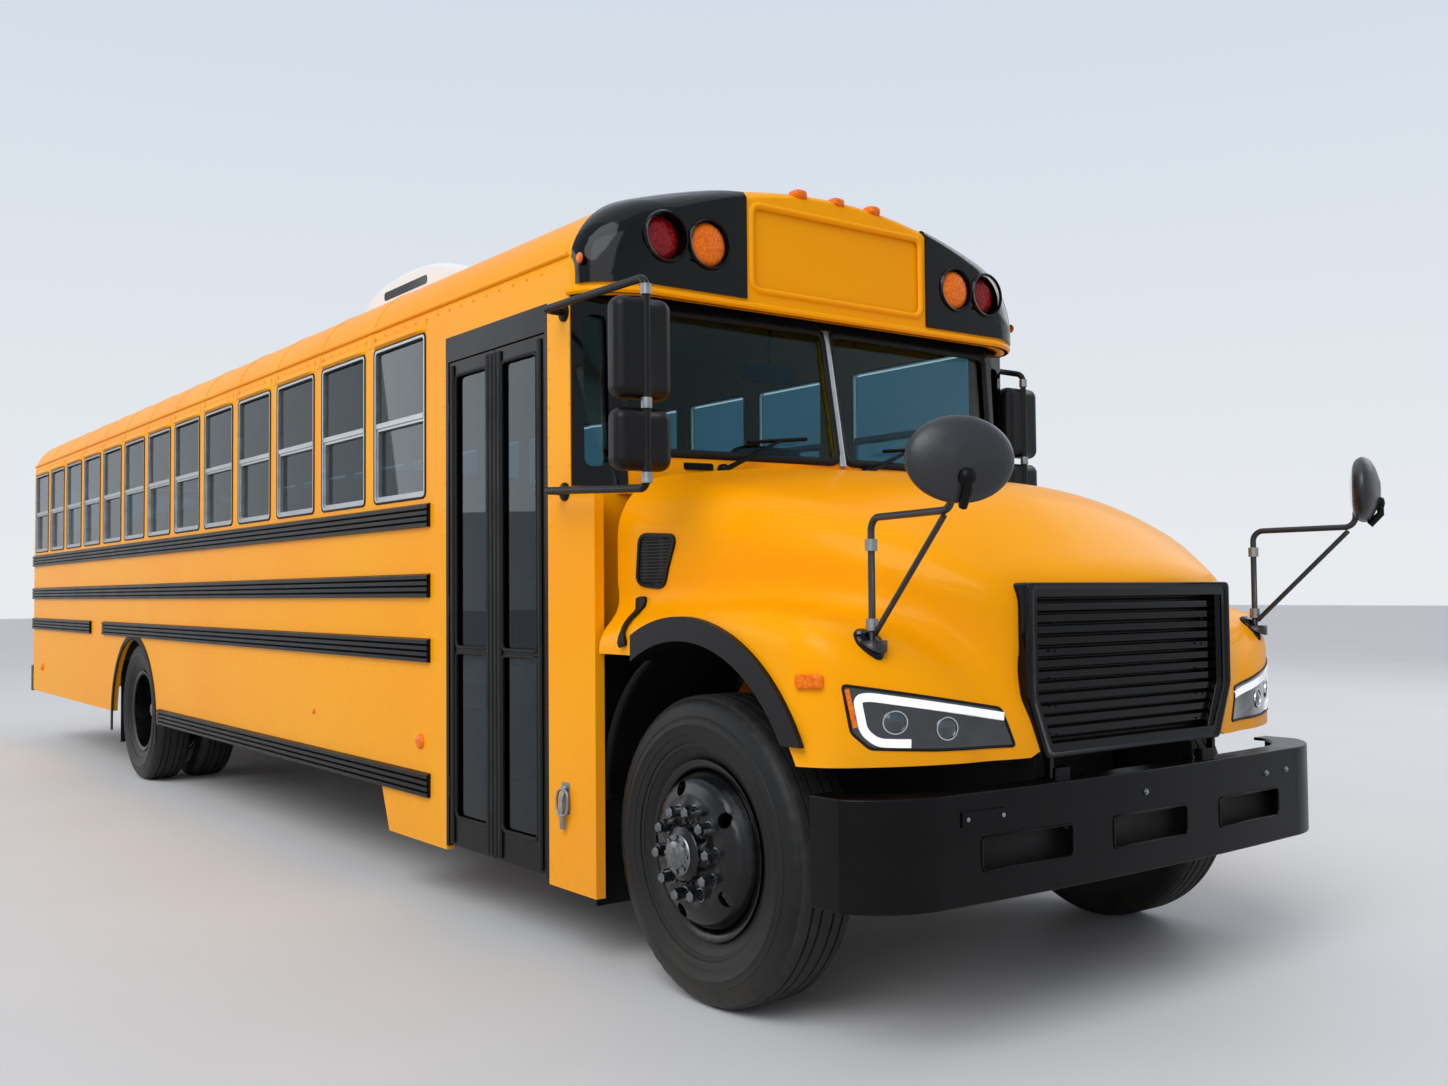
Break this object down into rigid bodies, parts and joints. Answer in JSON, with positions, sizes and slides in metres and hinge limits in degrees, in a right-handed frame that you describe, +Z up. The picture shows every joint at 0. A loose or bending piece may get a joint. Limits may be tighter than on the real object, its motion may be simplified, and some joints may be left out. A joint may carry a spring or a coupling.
{
  "type": "school bus",
  "caption": "Bonneted yellow school bus with black rub rails, split-sash windows, a folding entrance door, a tilting hood and black mirrors on arms.",
  "frame": {"origin": "centre of the whole bus's footprint on the ground, mirrors included", "axes": "+X forward to the bumper, +Y to the bus's left, +Z up"},
  "size_m": [12.5006, 2.904, 3.2861],
  "materials": {
    "body_yellow": "glossy yellow enamel",
    "white_paint": "satin white roof hatch and roof unit",
    "trim_black": "satin black enamel on bumpers, rails and doors",
    "chassis_black": "dusty black chassis paint",
    "lamp_black": "glossy black lamp housings and grille",
    "moulded_black": "grained black plastic",
    "aluminium": "mill-finish window sashes",
    "wheel_black": "black enamelled disc wheels",
    "tyre_rubber": "matt black tyre rubber",
    "rubber_sheet": "matt black rubber",
    "tinted_glass": "lightly tinted safety glass",
    "lamp_lens": "moulded red and amber lenses",
    "headlamp_lens": "clear moulded headlamp",
    "seat_vinyl": "dark grained vinyl",
    "interior_grey": "grey painted steel",
    "steel_grey": "oily forged and cast steel",
    "exhaust_steel": "heat-stained steel",
    "stop_red": "glossy red blade, left blank"
  },
  "bodies": {
    "coach": {"chassis_frame": "chassis_black", "front_axle": "steel_grey", "rear_axle": "steel_grey", "leaf_springs": "steel_grey", "engine_block": "steel_grey", "fuel_tank": "chassis_black", "exhaust": "exhaust_steel", "floor": "interior_grey", "side_wall_right": "body_yellow", "side_wall_left": "body_yellow", "roof_shell": "body_yellow", "rear_wall": "body_yellow", "front_cap": "body_yellow", "lamp_housings": "lamp_black", "warning_lamps": "lamp_lens", "windshield_frame": "body_yellow", "windshield_glass": "tinted_glass", "side_glass": "tinted_glass", "window_frames": "aluminium", "rub_rails": "trim_black", "front_bumper": "trim_black", "rear_bumper": "trim_black", "entrance_steps": "trim_black", "seat_cushions": "seat_vinyl", "seat_backs": "seat_vinyl", "seat_legs": "interior_grey", "dashboard": "moulded_black", "marker_lamps": "lamp_lens", "rear_view_mirrors": "moulded_black", "mud_flaps": "rubber_sheet", "stop_arm_housing": "moulded_black", "roof_unit": "white_paint"},
    "hood": {"hood_shell": "body_yellow", "grille": "lamp_black", "headlamps": "headlamp_lens", "fender_flares": "moulded_black", "crossover_mirrors": "moulded_black"},
    "steering_left": {"knuckle_left": "steel_grey"},
    "steering_right": {"knuckle_right": "steel_grey"},
    "front_wheel_left": {"tyre_front_left": "tyre_rubber", "rim_front_left": "wheel_black"},
    "front_wheel_right": {"tyre_front_right": "tyre_rubber", "rim_front_right": "wheel_black"},
    "rear_wheels_left": {"tyres_rear_left": "tyre_rubber", "rims_rear_left": "wheel_black"},
    "rear_wheels_right": {"tyres_rear_right": "tyre_rubber", "rims_rear_right": "wheel_black"},
    "door_front_leaf": {"door_leaf_front": "trim_black", "door_glass_front": "tinted_glass"},
    "door_rear_leaf": {"door_leaf_rear": "trim_black", "door_glass_rear": "tinted_glass"},
    "emergency_door": {"rear_door": "body_yellow", "rear_door_glass": "tinted_glass"},
    "stop_sign_arm": {"stop_arm": "stop_red"},
    "roof_hatch": {"hatch_lid": "white_paint"}
  },
  "joints": [
    {"name": "hood_tilt", "type": "hinge", "parent": "coach", "child": "hood", "pos_m": [5.93, 0, 0.81], "axis": [0, 1, 0], "range_deg": [0, 60]},
    {"name": "steer_left", "type": "hinge", "parent": "coach", "child": "steering_left", "pos_m": [5.03, 0.88, 0.522], "axis": [0, 0, 1], "range_deg": [-35, 35]},
    {"name": "steer_right", "type": "hinge", "parent": "coach", "child": "steering_right", "pos_m": [5.03, -0.88, 0.522], "axis": [0, 0, 1], "range_deg": [-35, 35]},
    {"name": "roll_front_left", "type": "hinge", "parent": "steering_left", "child": "front_wheel_left", "pos_m": [5.03, 1.03, 0.522], "axis": [0, 1, 0], "continuous": true},
    {"name": "roll_front_right", "type": "hinge", "parent": "steering_right", "child": "front_wheel_right", "pos_m": [5.03, -1.03, 0.522], "axis": [0, 1, 0], "continuous": true},
    {"name": "roll_rear_left", "type": "hinge", "parent": "coach", "child": "rear_wheels_left", "pos_m": [-2.23, 0.88, 0.522], "axis": [0, 1, 0], "continuous": true},
    {"name": "roll_rear_right", "type": "hinge", "parent": "coach", "child": "rear_wheels_right", "pos_m": [-2.23, -0.88, 0.522], "axis": [0, 1, 0], "continuous": true},
    {"name": "door_front_swing", "type": "hinge", "parent": "coach", "child": "door_front_leaf", "pos_m": [4.095, -1.215, 1.3], "axis": [0, 0, 1], "range_deg": [0, 90]},
    {"name": "door_rear_swing", "type": "hinge", "parent": "coach", "child": "door_rear_leaf", "pos_m": [3.25, -1.215, 1.3], "axis": [0, 0, 1], "range_deg": [-90, 0]},
    {"name": "emergency_door_swing", "type": "hinge", "parent": "coach", "child": "emergency_door", "pos_m": [-6.183, -0.424, 1.7], "axis": [0, 0, 1], "range_deg": [0, 110]},
    {"name": "stop_arm_swing", "type": "hinge", "parent": "coach", "child": "stop_sign_arm", "pos_m": [2.925, 1.283, 1.59], "axis": [0, 0, 1], "range_deg": [-90, 0]},
    {"name": "roof_hatch_lift", "type": "hinge", "parent": "coach", "child": "roof_hatch", "pos_m": [-2.28, 0, 3.0815], "axis": [0, 1, 0], "range_deg": [0, 45]}
  ],
  "couplings": [
    {"joint": "steer_right", "follows": "steer_left", "ratio": 1},
    {"joint": "door_rear_swing", "follows": "door_front_swing", "ratio": -1}
  ]
}
